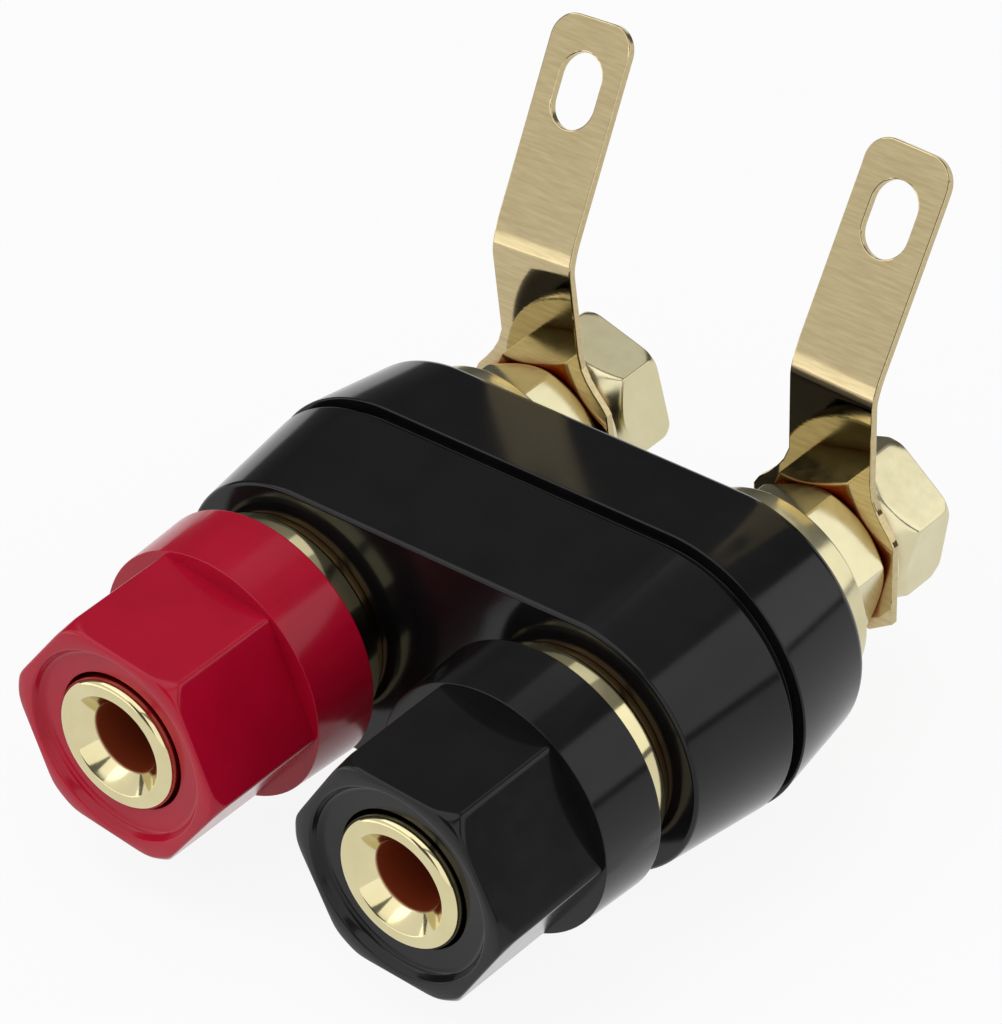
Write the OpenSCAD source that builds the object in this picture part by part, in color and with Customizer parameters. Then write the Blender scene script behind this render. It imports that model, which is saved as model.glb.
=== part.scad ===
// Dual insulated binding post: two hollow posts 19 mm apart through one
// two-part plastic insulator, each with a captive screw knob in front and a
// washer, two nuts and a bent solder tag behind.
// Frame: +Z up, knobs towards -Y, tags at +Y, red pole at -X. The origin is
// midway between the post axes, on the plane where the two insulators meet.
// All sizes are in millimetres.

/* [Layout] */
// Distance between the two post axes
post_spacing = 19; // [12:0.5:40]
// Roundness of turned surfaces (segments per turn in the preview)
smoothness = 96; // [48:8:160]

/* [Front insulator] */
// Depth of the front insulator from its front face to the meeting plane
front_depth = 7.4; // [4:0.1:20]
// End radius of the front insulator at the flat front face
front_face_radius = 6.8; // [5:0.1:15]
// Radius that rounds the front face into the sides
front_edge_round = 0.8; // [0.2:0.1:3]
// End radius of the front insulator where the sides reach the groove
front_groove_radius = 8.5; // [6:0.1:18]
// Width of each insulator's half of the dark groove
groove_half_width = 0.4; // [0.1:0.1:2]
// Depth of the groove below the sides
groove_depth = 0.8; // [0.2:0.1:3]
// Outer radius of the collar that passes through the panel hole
collar_radius = 4.2; // [3.2:0.1:8]
// Length of the collar behind the meeting plane
collar_length = 2.5; // [1:0.1:6]

/* [Rear insulator] */
// Depth of the rear insulator from the meeting plane to its rear face
rear_depth = 6.9; // [3:0.1:20]
// End radius of the rear insulator where the sides reach the groove
rear_groove_radius = 8.6; // [6:0.1:18]
// End radius of the rear insulator where the rear rounding starts
rear_rim_radius = 7.75; // [5:0.1:16]
// Radius that rounds the sides into the rear face
rear_edge_round = 0.8; // [0.2:0.1:3]
// Outer radius of the round boss that carries the washer
boss_radius = 5.6; // [3:0.1:8]
// Height of the boss above the rear face
boss_height = 0.8; // [0:0.1:8]
// Clearance round the collar in the rear insulator
collar_clearance = 0.1; // [0.02:0.01:0.5]
// Extra depth of the collar pocket in the rear insulator
collar_end_gap = 0.3; // [0:0.1:2]

/* [Post] */
// Outer radius of the threaded barrel, at the thread crests
barrel_radius = 3.2; // [2:0.1:6]
// Radius of the plug socket
socket_radius = 2.05; // [1:0.05:4]
// Radius of the base flange on the front face
flange_radius = 5.9; // [4:0.05:10]
// Thickness of the base flange
flange_thickness = 0.6; // [0.3:0.05:4]
// Chamfer on the flange's front rim
flange_chamfer = 0.15; // [0.05:0.05:1]
// Radius of the rear stud, at the thread crests
stud_radius = 2.5; // [1.5:0.1:5]
// Clearance of the stud in insulators, washers, tags and nuts
stud_clearance = 0.05; // [0.01:0.01:0.5]
// Length of stud that shows behind the outer nut
stud_overhang = 0.9; // [0:0.1:5]
// Chamfer on the end of the stud
stud_chamfer = 0.4; // [0.1:0.1:1]
// Thickness of the socket's closed end
socket_end_wall = 0.7; // [0.3:0.1:3]
// Radius of the wire hole across the barrel
wire_hole_radius = 1.2; // [0.5:0.1:2]
// Distance from the flange's front face to the wire hole's axis
wire_hole_offset = 1.8; // [1:0.1:6]

/* [Post head] */
// Outer radius of the head
head_radius = 3.9; // [2.5:0.05:6]
// How far the head stands in front of the closed knob
head_proud = 0.05; // [0:0.05:2]
// Thickness of the head
head_thickness = 1.8; // [0.6:0.1:4]
// Radius that rounds the head's front rim
head_round = 0.45; // [0.1:0.05:1]
// Radius of the funnel mouth at the front
funnel_radius = 3.0; // [2.1:0.05:4]
// Depth of the funnel
funnel_depth = 1.0; // [0.2:0.1:3]
// Outer radius of the sleeve pressed into the barrel
sleeve_radius = 2.7; // [2.2:0.05:4]
// Length of the sleeve behind the head
sleeve_length = 2.7; // [1:0.1:6]

/* [Knob] */
// Corner radius of the hexagonal part
hex_corner_radius = 7.15; // [5:0.05:15]
// Length of the hexagonal part
hex_length = 7.6; // [3:0.1:20]
// Radius the corners are turned down to at the front face
hex_front_radius = 6.64; // [4:0.02:14]
// Length of that turned chamfer
hex_chamfer_length = 0.65; // [0.1:0.05:2]
// Radius of the round part where it meets the hexagon
round_front_radius = 7.3; // [5:0.05:15]
// Radius of the round part at its rear rim
round_rear_radius = 7.5; // [5:0.05:15]
// Length of the round part
round_length = 4.25; // [1:0.05:15]
// Chamfer on the round part's rear rim
round_chamfer = 0.15; // [0.05:0.05:1]
// Angle of the red knob about its axis
red_knob_angle = 51.4; // [0:0.1:60]
// Angle of the black knob about its axis
black_knob_angle = 55.7; // [0:0.1:60]
// Radius of the recess in the knob's front
recess_radius = 5.45; // [4:0.05:8]
// Depth of the recess at its wall
recess_depth = 1.1; // [0.2:0.1:4]
// Width of the bevel on the recess's lip
recess_bevel = 0.3; // [0.05:0.05:1]
// Radius of the step inside the recess
recess_step_radius = 4.75; // [4:0.05:7]
// Extra depth of that step
recess_step_depth = 0.35; // [0.1:0.05:2]
// Clearance between the head and the knob's bore
head_clearance = 0.2; // [0.05:0.05:1]
// Radius of the brass insert
insert_radius = 5.0; // [4:0.1:10]
// Length of the brass insert
insert_length = 5.5; // [2:0.1:12]
// Clearance between the threads of insert and barrel
thread_clearance = 0.05; // [0.01:0.01:0.1]
// Clearance of the insert in its pocket
pocket_clearance = 0.02; // [0.01:0.01:0.1]

/* [Clamp ring] */
// Radius of the clamp ring beside the knob
clamp_front_radius = 6.4; // [4:0.05:12]
// Radius of the clamp ring beside the base flange
clamp_rear_radius = 6.2; // [4:0.05:12]
// Thickness of the clamp ring
clamp_thickness = 1.85; // [0.4:0.05:4]
// Length of the ring's straight rim beside the knob
clamp_land = 1.6; // [0.1:0.05:2]
// Radius of the ring's hub that turns in the insert
clamp_hub_radius = 4.1; // [3.4:0.05:8]
// Length of the hub
clamp_hub_length = 1.0; // [0.3:0.1:4]
// Clearance of the hub in the insert
hub_clearance = 0.05; // [0.01:0.01:0.2]
// Gap between clamp ring and base flange with the knob screwed in
closed_gap = 0.05; // [0.01:0.01:0.5]
// Gap between the knob's rear and the clamp ring
turning_gap = 0.05; // [0.01:0.01:0.5]

/* [Rear hardware] */
// Radius of the flat washer
washer_radius = 6.05; // [3:0.1:10]
// Thickness of the flat washer
washer_thickness = 1.4; // [0.4:0.1:3]
// Corner radius of the nuts
nut_corner_radius = 4.7; // [3:0.05:10]
// Thickness of the nuts
nut_thickness = 4; // [1:0.1:8]
// Radius the inner nuts' rear corners are turned down to
inner_crown_radius = 4.05; // [2.8:0.05:9]
// Length of the inner nuts' turned chamfer, at the corners
inner_crown_length = 0.6; // [0.1:0.05:2]
// Radius the outer nuts' front corners are turned down to
outer_crown_radius = 3.6; // [2.8:0.05:9]
// Length of the outer nuts' turned chamfer, at the corners
outer_crown_length = 1.25; // [0.1:0.05:2]
// Angle of the red inner nut about its axis
red_inner_nut_angle = 14.9; // [0:0.1:60]
// Angle of the red outer nut about its axis
red_outer_nut_angle = 42.2; // [0:0.1:60]
// Angle of the black inner nut about its axis
black_inner_nut_angle = 14.5; // [0:0.1:60]
// Angle of the black outer nut about its axis
black_outer_nut_angle = 18.9; // [0:0.1:60]
// Outer radius of the lock washer
lock_radius = 4.2; // [3:0.1:8]
// Thickness of the lock washer
lock_thickness = 1; // [0.4:0.1:4]
// Bevel on both edges of the lock washer's rim
lock_bevel = 0.2; // [0.05:0.05:1]
// Width of the lock washer's split
lock_split = 0.5; // [0.1:0.1:2]

/* [Solder tag] */
// Sheet thickness of the tag
tag_thickness = 0.5; // [0.3:0.1:2]
// Width of the tag's strip
tag_width = 5.4; // [3:0.1:10]
// Height of the bend above the post axis
tag_bend_height = 10.3; // [6:0.1:20]
// Bend of the red tag, towards the rear
red_tag_bend = 34; // [5:1:90]
// Bend of the black tag, towards the rear
black_tag_bend = 32; // [5:1:90]
// Inside radius of the bend
tag_bend_radius = 2.7; // [0.2:0.1:6]
// Length of the strip above the bend
tag_upper_length = 12.1; // [6:0.1:30]
// Corner radius at the tag's free end
tag_corner_radius = 1.5; // [0.3:0.1:2.8]
// Width of the slot
slot_width = 2.85; // [1.5:0.05:4.5]
// Overall length of the slot
slot_length = 4.25; // [2:0.05:8]
// Distance from the free end to the slot's centre
slot_end_distance = 4; // [2:0.1:10]
// Radius of the tag's head round the stud
tag_head_radius = 5.2; // [3.5:0.1:9]
// Half width of the tag's head
tag_head_half_width = 4.65; // [3:0.05:8]
// Distance from the post axis down to the head's lower corners
tag_corner_drop = 3.1; // [1:0.1:8]
// Distance from the post axis down to the head's lower edge
tag_head_drop = 4.1; // [2:0.1:9]
// How much narrower the head is where the strip's widening meets its round top
tag_shoulder_inset = 0.35; // [0:0.05:2]
// Half width of the head's lower edge
tag_foot_half_width = 3.2; // [1:0.1:8]
// Height where the strip starts to widen into the head
tag_shoulder_height = 5.7; // [4:0.1:9]
// Lean of the red tag about its post axis
red_tag_lean = -4; // [-30:0.5:30]
// Lean of the black tag about its post axis
black_tag_lean = 2.3; // [-30:0.1:30]
// How far the strip's centre line runs beside the post axis
tag_strip_offset = 0.35; // [0:0.05:2]

/* [Hidden] */
red_x = -post_spacing / 2;
black_x = post_spacing / 2;
// Stations along the post, from the front to the rear
flange_front_y = -front_depth - flange_thickness;
clamp_rear_y = flange_front_y - closed_gap;
clamp_front_y = clamp_rear_y - clamp_thickness;
knob_rear_y = clamp_front_y - turning_gap;
knob_step_y = knob_rear_y - round_length;
knob_front_y = knob_step_y - hex_length;
head_front_y = knob_front_y - head_proud;
head_back_y = head_front_y + head_thickness;
insert_front_y = knob_rear_y - insert_length;
boss_face_y = rear_depth + boss_height;
washer_rear_y = boss_face_y + washer_thickness;
inner_nut_rear_y = washer_rear_y + nut_thickness;
tag_rear_y = inner_nut_rear_y + tag_thickness;
lock_rear_y = tag_rear_y + lock_thickness;
outer_nut_rear_y = lock_rear_y + nut_thickness;
stud_end_y = outer_nut_rear_y + stud_overhang;
// Radii that follow from a fit
stud_bore = stud_radius + stud_clearance;
insert_bore = barrel_radius + thread_clearance;
head_bore = head_radius + head_clearance;
// Extra angle by which the tag's bend runs into its upper strip
bend_overlap = 0.01;
// A length that passes every wall it cuts
through = 60;
// How far a cut or a joined body runs past the face it belongs to
margin = 1;
// Steps used for a rounded edge
round_steps = 6;
gold = [0.83, 0.71, 0.42];
brass = [0.72, 0.6, 0.3];
black_plastic = [0.05, 0.05, 0.05];
red_plastic = [0.6, 0.05, 0.15];

// Points [radius, station] of a quarter round from [r0, y0] to [r1, y1];
// the round is square to the first side when first_axial is true
function quarter(r0, y0, r1, y1, first_axial) = [
    for (i = [0 : round_steps])
        let (a = 90 * i / round_steps)
        first_axial
            ? [r1 + (r0 - r1) * cos(a), y0 + (y1 - y0) * sin(a)]
            : [r0 + (r1 - r0) * sin(a), y1 + (y0 - y1) * cos(a)]
];

// Solid turned about the Y axis from points [radius, station]
module turned(points) {
    rotate([-90, 0, 0])
        rotate_extrude($fn = smoothness)
            polygon(points);
}

// Plain round hole along Y
module bore(r, y0, y1) {
    translate([0, y0, 0])
        rotate([-90, 0, 0])
            cylinder(h = y1 - y0, r = r, $fn = smoothness);
}

// Ring of rectangular section between two stations
module ring(ro, ri, y0, y1) {
    difference() {
        bore(ro, y0, y1);
        bore(ri, y0 - margin, y1 + margin);
    }
}

// Stadium-shaped body: the half section is turned at both ends and carried
// straight across between the post axes
module stadium(points) {
    n = len(points);
    mirrored = [for (i = [0 : n - 1]) [-points[n - 1 - i][0], points[n - 1 - i][1]]];
    translate([black_x, 0, 0])
        rotate([-90, 0, 0])
            rotate([0, 0, -90])
                rotate_extrude(angle = 180, $fn = smoothness)
                    polygon(points);
    translate([red_x, 0, 0])
        rotate([-90, 0, 0])
            rotate([0, 0, 90])
                rotate_extrude(angle = 180, $fn = smoothness)
                    polygon(points);
    translate([red_x, 0, 0])
        rotate([0, 90, 0])
            linear_extrude(height = post_spacing)
                polygon(concat(
                    [for (p = points) if (p[0] > 0) p],
                    [for (p = mirrored) if (p[0] < 0) p]));
}

// Front half of the insulator, with the two panel collars
module front_insulator() {
    shoulder = front_face_radius + front_edge_round;
    ledge = front_groove_radius - groove_depth;
    profile = concat(
        [[0, -front_depth]],
        quarter(front_face_radius, -front_depth,
            shoulder, -front_depth + front_edge_round, false),
        [[front_groove_radius, -groove_half_width],
         [ledge, -groove_half_width],
         [ledge, 0],
         [0, 0]]);
    color(black_plastic)
    difference() {
        union() {
            stadium(profile);
            for (x = [red_x, black_x])
                translate([x, 0, 0])
                    bore(collar_radius, -1, collar_length);
        }
        for (x = [red_x, black_x])
            translate([x, 0, 0])
                bore(stud_bore, -through, through);
    }
}

// Rear half of the insulator, with pockets for the collars and two bosses
module rear_insulator() {
    pocket = collar_length + collar_end_gap;
    ledge = rear_groove_radius - groove_depth;
    rim_y = rear_depth - rear_edge_round;
    profile = concat(
        [[0, 0], [ledge, 0], [ledge, groove_half_width],
         [rear_groove_radius, groove_half_width]],
        quarter(rear_rim_radius, rim_y,
            rear_rim_radius - rear_edge_round, rear_depth, true),
        [[0, rear_depth]]);
    color(black_plastic)
    difference() {
        union() {
            stadium(profile);
            for (x = [red_x, black_x])
                translate([x, 0, 0])
                    bore(boss_radius, rear_depth - margin, boss_face_y);
        }
        for (x = [red_x, black_x])
            translate([x, 0, 0]) {
                bore(stud_bore, -through, through);
                bore(collar_radius + collar_clearance, -1, pocket);
            }
    }
}

// Hollow barrel, base flange and rear stud in one piece
module post() {
    socket_end_y = flange_front_y + socket_end_wall - flange_thickness;
    hole_y = flange_front_y - wire_hole_offset;
    color(gold)
    difference() {
        turned([
            [0, head_back_y],
            [barrel_radius, head_back_y],
            [barrel_radius, flange_front_y],
            [flange_radius - flange_chamfer, flange_front_y],
            [flange_radius, flange_front_y + flange_chamfer],
            [flange_radius, -front_depth],
            [stud_radius, -front_depth],
            [stud_radius, stud_end_y - stud_chamfer],
            [stud_radius - stud_chamfer, stud_end_y],
            [0, stud_end_y]]);
        bore(socket_radius, head_back_y - margin, socket_end_y);
        bore(sleeve_radius, head_back_y - margin, head_back_y + sleeve_length);
        translate([0, hole_y, -barrel_radius - margin])
            cylinder(h = 2 * barrel_radius + 2 * margin, r = wire_hole_radius, $fn = smoothness);
    }
}

// Pressed-in head with the funnel mouth, which keeps the knob on the post
module post_head() {
    sleeve_end = head_back_y + sleeve_length;
    color(gold)
    turned(concat(
        [[socket_radius, head_front_y + funnel_depth],
         [funnel_radius, head_front_y]],
        quarter(head_radius - head_round, head_front_y,
            head_radius, head_front_y + head_round, false),
        [[head_radius, head_back_y],
         [sleeve_radius, head_back_y],
         [sleeve_radius, sleeve_end],
         [socket_radius, sleeve_end]]));
}

// Plastic of the knob: hexagon in front, round part behind
module knob_shell(angle) {
    floor_y = knob_front_y + recess_depth;
    step_y = floor_y + recess_step_depth;
    big = hex_corner_radius + margin;
    difference() {
        union() {
            intersection() {
                translate([0, knob_front_y, 0])
                    rotate([-90, 0, 0])
                        rotate([0, 0, -angle])
                            cylinder(h = hex_length + margin, r = hex_corner_radius, $fn = 6);
                turned([
                    [0, knob_front_y],
                    [hex_front_radius, knob_front_y],
                    [hex_front_radius + (big - hex_front_radius),
                     knob_front_y + hex_chamfer_length * (big - hex_front_radius)
                        / (hex_corner_radius - hex_front_radius)],
                    [big, knob_step_y + margin],
                    [0, knob_step_y + margin]]);
            }
            turned([
                [0, knob_step_y],
                [round_front_radius, knob_step_y],
                [round_rear_radius, knob_rear_y - round_chamfer],
                [round_rear_radius - round_chamfer, knob_rear_y],
                [0, knob_rear_y]]);
        }
        turned([
            [0, knob_front_y - margin],
            [recess_radius + recess_bevel + margin, knob_front_y - margin],
            [recess_radius, knob_front_y + recess_bevel],
            [recess_radius, floor_y],
            [recess_step_radius, floor_y],
            [recess_step_radius, step_y],
            [head_bore, step_y],
            [head_bore, insert_front_y],
            [insert_radius + pocket_clearance, insert_front_y],
            [insert_radius + pocket_clearance, knob_rear_y + margin],
            [0, knob_rear_y + margin]]);
    }
}

// Brass insert with the knob's thread
module knob_insert() {
    hub_pocket_y = knob_rear_y - clamp_hub_length;
    color(brass)
    difference() {
        bore(insert_radius, insert_front_y, knob_rear_y);
        bore(insert_bore, insert_front_y - margin, knob_rear_y + margin);
        bore(clamp_hub_radius + hub_clearance, hub_pocket_y - turning_gap, knob_rear_y + margin);
    }
}

// Loose ring that presses the wire on the base flange
module clamp_ring() {
    color(gold)
    turned([
        [insert_bore, knob_rear_y - clamp_hub_length],
        [clamp_hub_radius, knob_rear_y - clamp_hub_length],
        [clamp_hub_radius, clamp_front_y],
        [clamp_front_radius, clamp_front_y],
        [clamp_front_radius, clamp_front_y + clamp_land],
        [clamp_rear_radius, clamp_rear_y],
        [insert_bore, clamp_rear_y]]);
}

// Flat washer on the rear boss
module flat_washer() {
    color(gold)
    ring(washer_radius, stud_bore, boss_face_y, washer_rear_y);
}

// Hexagonal nut with the corners of one face turned down: the front face
// when side is -1, the rear face when side is 1
module nut(y0, angle, side, crown_radius, crown_length) {
    big = nut_corner_radius + margin;
    slope = crown_length / (nut_corner_radius - crown_radius);
    half = nut_thickness / 2;
    color(gold)
    translate([0, y0 + half, 0])
    difference() {
        intersection() {
            translate([0, -half, 0])
                rotate([-90, 0, 0])
                    rotate([0, 0, -angle])
                        cylinder(h = nut_thickness, r = nut_corner_radius, $fn = 6);
            turned([
                [0, -side * (half + margin)],
                [big, -side * (half + margin)],
                [big, side * (half - slope * (big - crown_radius))],
                [crown_radius, side * half],
                [0, side * half]]);
        }
        bore(stud_bore, -half - margin, half + margin);
    }
}

// Split spring washer under the outer nut
module lock_washer() {
    edge = lock_radius - lock_bevel;
    color(gold)
    difference() {
        turned([
            [stud_bore, tag_rear_y],
            [edge, tag_rear_y],
            [lock_radius, tag_rear_y + lock_bevel],
            [lock_radius, lock_rear_y - lock_bevel],
            [edge, lock_rear_y],
            [stud_bore, lock_rear_y]]);
        translate([-lock_split / 2, tag_rear_y - margin, -lock_radius - margin])
            cube([lock_split, lock_thickness + 2 * margin, lock_radius]);
    }
}

// Flat blank standing in the XZ plane, tag_thickness deep towards +Y
module blank() {
    translate([0, tag_thickness, 0])
        rotate([90, 0, 0])
            linear_extrude(height = tag_thickness)
                children();
}

// Bent solder tag with its head round the stud and a slot near its free end
module solder_tag(lean, bend) {
    half = tag_width / 2;
    shoulder_half = tag_head_half_width - tag_shoulder_inset;
    shoulder_z = sqrt(pow(tag_head_radius, 2) - pow(shoulder_half, 2));
    bend_y = tag_thickness + tag_bend_radius;
    slot_half = slot_width / 2;
    slot_straight = slot_length - slot_width;
    slot_z = tag_upper_length - slot_end_distance;
    inner = half - tag_corner_radius;
    color(gold)
    translate([0, inner_nut_rear_y, 0])
    rotate([0, lean, 0])
    union() {
        blank()
            difference() {
                union() {
                    intersection() {
                        circle(r = tag_head_radius, $fn = smoothness);
                        translate([-tag_head_half_width, -tag_corner_drop])
                            square([2 * tag_head_half_width, 2 * tag_head_radius]);
                    }
                    polygon([
                        [-tag_head_half_width, 0],
                        [-tag_head_half_width, -tag_corner_drop],
                        [-tag_foot_half_width, -tag_head_drop],
                        [tag_foot_half_width, -tag_head_drop],
                        [tag_head_half_width, -tag_corner_drop],
                        [tag_head_half_width, 0]]);
                    polygon([
                        [tag_strip_offset - half, tag_shoulder_height],
                        [-shoulder_half, shoulder_z],
                        [shoulder_half, shoulder_z],
                        [tag_strip_offset + half, tag_shoulder_height]]);
                    translate([tag_strip_offset - half, 0])
                        square([tag_width, tag_bend_height]);
                }
                circle(r = stud_bore, $fn = smoothness);
            }
        translate([tag_strip_offset, bend_y, tag_bend_height])
            rotate([90, 0, -90])
                rotate_extrude(angle = bend + bend_overlap, $fn = smoothness)
                    translate([tag_bend_radius, -half])
                        square([tag_thickness, tag_width]);
        translate([tag_strip_offset, bend_y, tag_bend_height])
            rotate([-bend, 0, 0])
                translate([0, -bend_y, 0])
                    blank()
                        difference() {
                            union() {
                                translate([-half, 0])
                                    square([tag_width, tag_upper_length - tag_corner_radius]);
                                translate([-inner, 0])
                                    square([2 * inner, tag_upper_length]);
                                for (s = [-1, 1])
                                    translate([s * inner, tag_upper_length - tag_corner_radius])
                                        circle(r = tag_corner_radius, $fn = smoothness);
                            }
                            translate([-slot_half, slot_z - slot_straight / 2])
                                square([slot_width, slot_straight]);
                            for (s = [-1, 1])
                                translate([0, slot_z + s * slot_straight / 2])
                                    circle(r = slot_half, $fn = smoothness);
                        }
    }
}

module red_post() { translate([red_x, 0, 0]) post(); }
module red_post_head() { translate([red_x, 0, 0]) post_head(); }
module red_knob_shell() { translate([red_x, 0, 0]) color(red_plastic) knob_shell(red_knob_angle); }
module red_knob_insert() { translate([red_x, 0, 0]) knob_insert(); }
module red_clamp_ring() { translate([red_x, 0, 0]) clamp_ring(); }
module red_flat_washer() { translate([red_x, 0, 0]) flat_washer(); }
module red_inner_nut() {
    translate([red_x, 0, 0])
        nut(washer_rear_y, red_inner_nut_angle, 1, inner_crown_radius, inner_crown_length);
}
module red_solder_tag() { translate([red_x, 0, 0]) solder_tag(red_tag_lean, red_tag_bend); }
module red_lock_washer() { translate([red_x, 0, 0]) lock_washer(); }
module red_outer_nut() {
    translate([red_x, 0, 0])
        nut(lock_rear_y, red_outer_nut_angle, -1, outer_crown_radius, outer_crown_length);
}
module black_post() { translate([black_x, 0, 0]) post(); }
module black_post_head() { translate([black_x, 0, 0]) post_head(); }
module black_knob_shell() {
    translate([black_x, 0, 0]) color(black_plastic) knob_shell(black_knob_angle);
}
module black_knob_insert() { translate([black_x, 0, 0]) knob_insert(); }
module black_clamp_ring() { translate([black_x, 0, 0]) clamp_ring(); }
module black_flat_washer() { translate([black_x, 0, 0]) flat_washer(); }
module black_inner_nut() {
    translate([black_x, 0, 0])
        nut(washer_rear_y, black_inner_nut_angle, 1, inner_crown_radius, inner_crown_length);
}
module black_solder_tag() {
    translate([black_x, 0, 0]) solder_tag(black_tag_lean, black_tag_bend);
}
module black_lock_washer() { translate([black_x, 0, 0]) lock_washer(); }
module black_outer_nut() {
    translate([black_x, 0, 0])
        nut(lock_rear_y, black_outer_nut_angle, -1, outer_crown_radius, outer_crown_length);
}

front_insulator();
rear_insulator();
red_post();
red_post_head();
red_knob_shell();
red_knob_insert();
red_clamp_ring();
red_flat_washer();
red_inner_nut();
red_solder_tag();
red_lock_washer();
red_outer_nut();
black_post();
black_post_head();
black_knob_shell();
black_knob_insert();
black_clamp_ring();
black_flat_washer();
black_inner_nut();
black_solder_tag();
black_lock_washer();
black_outer_nut();
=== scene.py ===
import bpy
import bmesh
import math
from math import cos, sin, pi, radians
from mathutils import Matrix, Vector


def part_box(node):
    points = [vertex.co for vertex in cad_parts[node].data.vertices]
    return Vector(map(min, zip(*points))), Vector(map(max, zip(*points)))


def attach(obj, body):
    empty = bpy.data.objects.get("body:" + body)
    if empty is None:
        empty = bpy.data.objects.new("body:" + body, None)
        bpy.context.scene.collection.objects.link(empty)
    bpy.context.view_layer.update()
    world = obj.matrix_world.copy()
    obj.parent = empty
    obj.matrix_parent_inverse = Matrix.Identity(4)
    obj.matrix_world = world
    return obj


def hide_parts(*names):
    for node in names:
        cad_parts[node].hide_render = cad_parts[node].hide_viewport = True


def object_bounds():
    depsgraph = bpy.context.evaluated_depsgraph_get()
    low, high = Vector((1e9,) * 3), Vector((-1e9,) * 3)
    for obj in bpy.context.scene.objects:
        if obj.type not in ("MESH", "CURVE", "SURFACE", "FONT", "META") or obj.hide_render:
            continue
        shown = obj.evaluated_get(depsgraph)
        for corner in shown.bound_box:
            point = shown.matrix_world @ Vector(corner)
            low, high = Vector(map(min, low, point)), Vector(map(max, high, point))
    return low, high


# The looks of a dual insulated binding post, whose knobs point to -Y. The
# builders below work in millimetres, and MM turns them into Blender's metres.
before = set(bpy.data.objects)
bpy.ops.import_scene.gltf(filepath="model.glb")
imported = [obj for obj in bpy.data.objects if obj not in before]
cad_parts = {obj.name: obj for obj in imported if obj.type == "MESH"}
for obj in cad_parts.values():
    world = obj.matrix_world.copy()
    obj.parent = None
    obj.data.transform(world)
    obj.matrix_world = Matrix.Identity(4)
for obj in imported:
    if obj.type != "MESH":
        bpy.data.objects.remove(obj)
low0, high0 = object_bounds()
MM = 0.001
TAU = 2 * pi


# ---------------------------------------------------------------- helpers
def span(node):
    """Lowest and highest corner of a CAD node in millimetres."""
    lo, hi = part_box(node)
    return [v / MM for v in lo], [v / MM for v in hi]


def place_in_scene(name, data):
    """A new object for a mesh, lamp or camera."""
    obj = bpy.data.objects.new(name, data)
    bpy.context.scene.collection.objects.link(obj)
    return obj


def weight_normals(obj):
    """Keeps broad flat faces flat next to their rounded edges."""
    mod = obj.modifiers.new("flat faces", "WEIGHTED_NORMAL")
    mod.keep_sharp = True
    mod.weight = 100


def link(name, verts, faces, x0=0.0, smooth=35, weighted=True):
    """A mesh object from millimetre points, moved to the post at x0. Edges
    that turn by more than smooth degrees stay sharp."""
    mesh = bpy.data.meshes.new(name)
    mesh.from_pydata([((x + x0) * MM, y * MM, z * MM) for x, y, z in verts], [], faces)
    mesh.validate()
    bm = bmesh.new()
    bm.from_mesh(mesh)
    bmesh.ops.remove_doubles(bm, verts=bm.verts, dist=1e-8)
    bmesh.ops.recalc_face_normals(bm, faces=bm.faces)
    bm.to_mesh(mesh)
    bm.free()
    mesh.shade_smooth()
    mesh.set_sharp_from_angle(angle=radians(smooth))
    obj = place_in_scene(name, mesh)
    if weighted:
        weight_normals(obj)
    return obj


def fillet(points, segs=5):
    """Rounds the corners of a closed outline. Each point is (r, y) or
    (r, y, radius), and a radius shrinks where a side is too short for it."""
    touching, straight, reach = 1e-9, pi - 0.02, 0.49
    out = []
    n = len(points)
    for i in range(n):
        p = points[i]
        a = Vector(points[i - 1][:2])
        b = Vector(p[:2])
        c = Vector(points[(i + 1) % n][:2])
        rad = p[2] if len(p) > 2 else 0.0
        u = a - b
        v = c - b
        if rad <= 0 or min(u.length, v.length) < touching or u.angle(v) > straight:
            out.append((b.x, b.y))
            continue
        ang = u.angle(v)
        d = min(rad / math.tan(ang / 2), u.length * reach, v.length * reach)
        rad = d * math.tan(ang / 2)
        u.normalize()
        v.normalize()
        mid = (u + v).normalized()
        centre = b + mid * (rad / sin(ang / 2))
        s = b + u * d - centre
        e = b + v * d - centre
        a0 = math.atan2(s.y, s.x)
        a1 = math.atan2(e.y, e.x)
        da = (a1 - a0 + pi) % TAU - pi
        for k in range(segs + 1):
            t = a0 + da * k / segs
            out.append((centre.x + rad * cos(t), centre.y + rad * sin(t)))
    return out


def open_fillet(points, segs=6):
    """fillet() for an outline whose two ends stay as they are."""
    first = (points[0][0] - 0.01, points[0][1])
    return fillet([first] + list(points), segs)[1:]


def grid_faces(rows, cols, wrap_rows=True):
    """Quads over rows of points, each row closed on itself."""
    faces = []
    for i in range(rows if wrap_rows else rows - 1):
        a = i * cols
        b = ((i + 1) % rows) * cols
        for j in range(cols):
            k = (j + 1) % cols
            faces.append((a + j, a + k, b + k, b + j))
    return faces


def round_points(rows, angles):
    """Points for rows of (r, y), one for each angle round the post axis."""
    return [(r * cos(t), y, r * sin(t)) for row in rows for t, (r, y) in zip(angles, row)]


def round_angles(segs):
    """Even angles round the post axis."""
    return [TAU * j / segs for j in range(segs)]


def turned(name, profile, x0, segs=128):
    """A closed outline of (r, y[, fillet]) turned about the post axis."""
    rows = [[point] * segs for point in fillet(profile)]
    return link(name, round_points(rows, round_angles(segs)), grid_faces(len(rows), segs), x0)


def hex_angles(phase):
    """Angles round a hexagon, closer together at its corners, in radians."""
    half_side = [0, 0.35, 0.7, 1.1, 1.6, 2.2, 3, 4.2, 6, 8.5, 11.5, 15, 19, 23, 26.5, 30]
    side = half_side + [60 - a for a in half_side[-2:0:-1]]
    return [radians(phase + 60 * k + a) for k in range(6) for a in side]


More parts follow.
